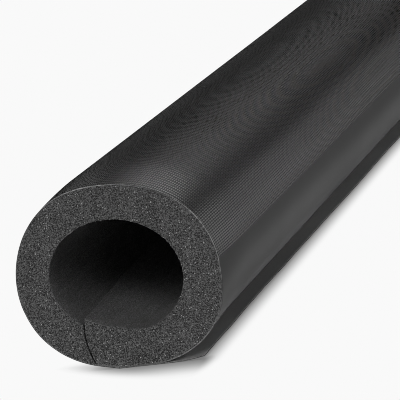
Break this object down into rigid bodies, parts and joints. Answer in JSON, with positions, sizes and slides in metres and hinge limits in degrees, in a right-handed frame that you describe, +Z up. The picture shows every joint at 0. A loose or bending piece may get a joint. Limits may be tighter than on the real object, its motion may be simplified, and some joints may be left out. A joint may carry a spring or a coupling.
{
  "type": "elastomeric pipe insulation tube",
  "caption": "Slit soft foam tube for insulating a pipe, with a thin woven-look covering bonded round it and a free overlap flap along the slit.",
  "frame": {"origin": "on the floor under the middle of the tube, as it lies on its flap", "axes": "+Y along the tube, away from the cut end that the front view shows; +Z up; +X towards the flap's free edge"},
  "size_m": [0.0746, 1, 0.0655],
  "materials": {
    "foam": "matt closed-cell foam with a cut, speckled end face",
    "covering": "satin, with a fine woven relief outside and smooth inside"
  },
  "bodies": {
    "root": {"foam_tube": "foam", "cladding": "covering"}
  },
  "joints": []
}
